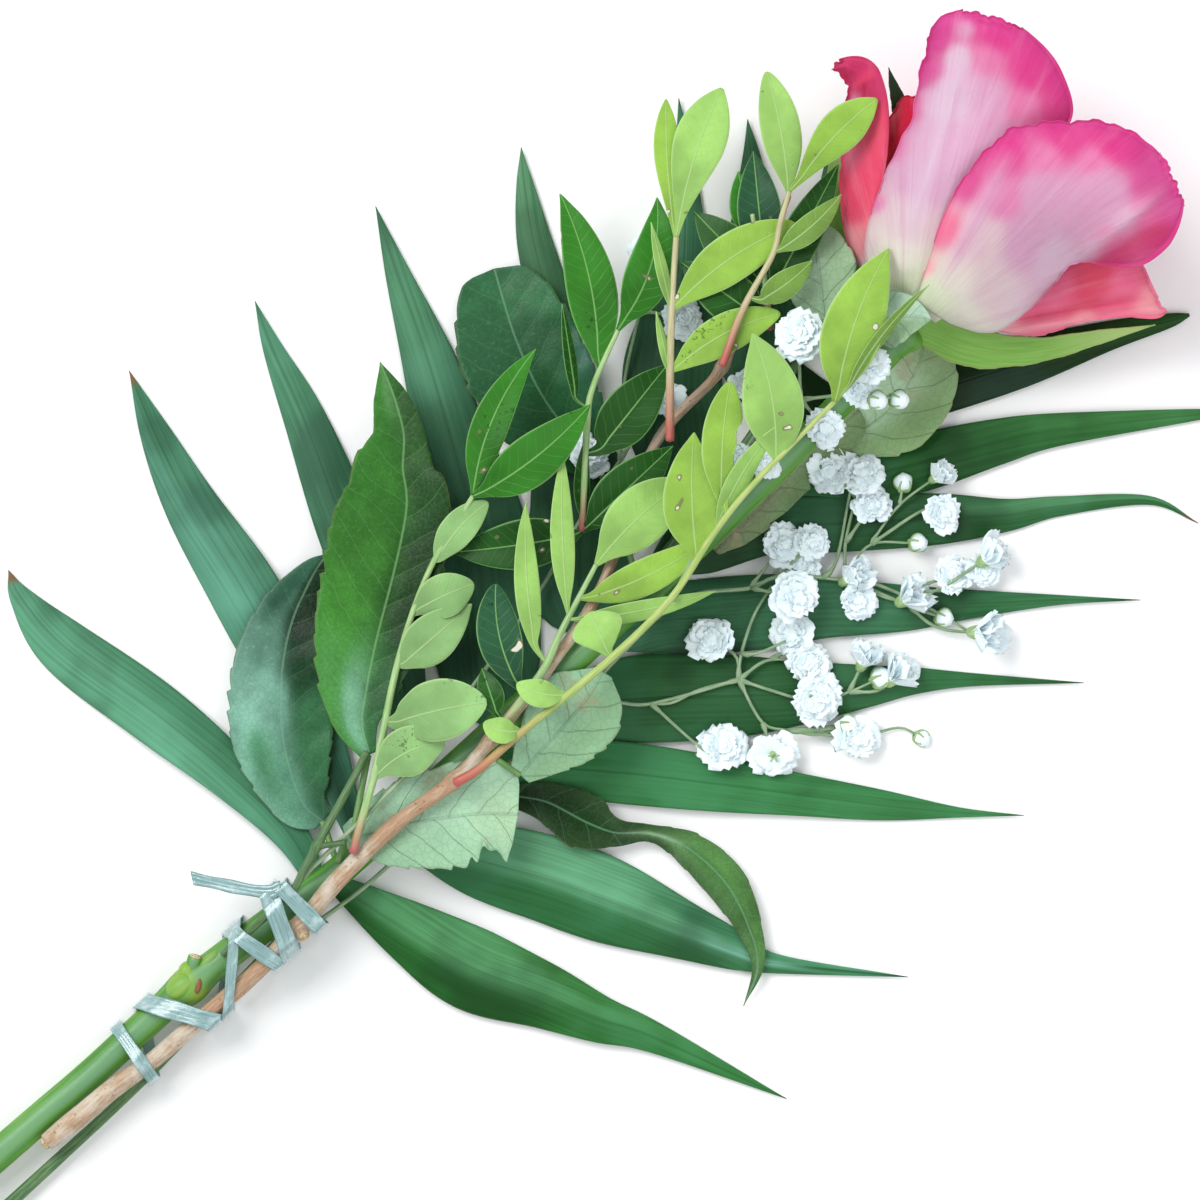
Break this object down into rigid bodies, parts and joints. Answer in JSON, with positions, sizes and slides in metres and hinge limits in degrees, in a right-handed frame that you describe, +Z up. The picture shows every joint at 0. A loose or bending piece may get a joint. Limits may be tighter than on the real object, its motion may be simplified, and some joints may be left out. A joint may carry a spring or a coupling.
{
  "type": "single rose bouquet",
  "caption": "Long-stemmed pink and cream rose laid on its side with palm, rose and pistache foliage and white gypsophila, the stems tied with flat plastic string.",
  "frame": {"origin": "middle of the bouquet's bounding box in plan, at the surface it lies on", "axes": "+X along the stems towards the bloom, +Y to the left of the stems seen from above, +Z up"},
  "size_m": [0.4048, 0.1966, 0.0558],
  "materials": {
    "palm_leaf": "soft gloss, dark blue-green, fine lengthwise veins",
    "rose_leaf_dark": "glossy, dark green, net veins",
    "rose_leaf": "satin, mid green, net veins",
    "rose_leaf_underside": "matte, pale grey-green, net veins",
    "petal": "velvet matte, cream foot to magenta rim, crimson inside",
    "stem_green": "smooth, bright green",
    "bark": "matte, pinkish tan bark",
    "pistache_leaf": "satin, light yellow-green, pale midrib",
    "pistache_leaf_dark": "satin, mid green, pale midrib",
    "gypsophila": "matte white florets on grey-green stems",
    "gypsophila_stem": "matte grey-green",
    "string": "translucent pale blue-grey"
  },
  "bodies": {
    "root": {"palm_frond": "palm_leaf", "rose_leaf_dark": "rose_leaf_dark", "rose_leaf_high": "rose_leaf_dark", "rose_leaf_curled": "rose_leaf_dark", "rose_leaf_mid": "rose_leaf", "rose_leaf_near_bloom": "rose_leaf_underside", "rose_leaf_pale_a": "rose_leaf_underside", "rose_leaf_pale_b": "rose_leaf_underside", "rose_leaf_pale_c": "rose_leaf_underside", "rose_leaf_folded": "rose_leaf_underside", "rose_stem": "stem_green", "rose_bloom": "petal", "pistache_twig": "bark", "pistache_leaf_a": "pistache_leaf", "pistache_leaf_b": "pistache_leaf", "pistache_leaf_c": "pistache_leaf", "pistache_leaf_d": "pistache_leaf", "pistache_leaf_e": "pistache_leaf", "pistache_leaf_f": "pistache_leaf_dark", "pistache_leaf_back": "pistache_leaf_dark", "gypsophila_front": "gypsophila", "gypsophila_side": "gypsophila", "gypsophila_upper": "gypsophila", "gypsophila_back": "gypsophila", "gypsophila_cut_stem": "gypsophila_stem", "tie_string": "string"}
  },
  "joints": []
}
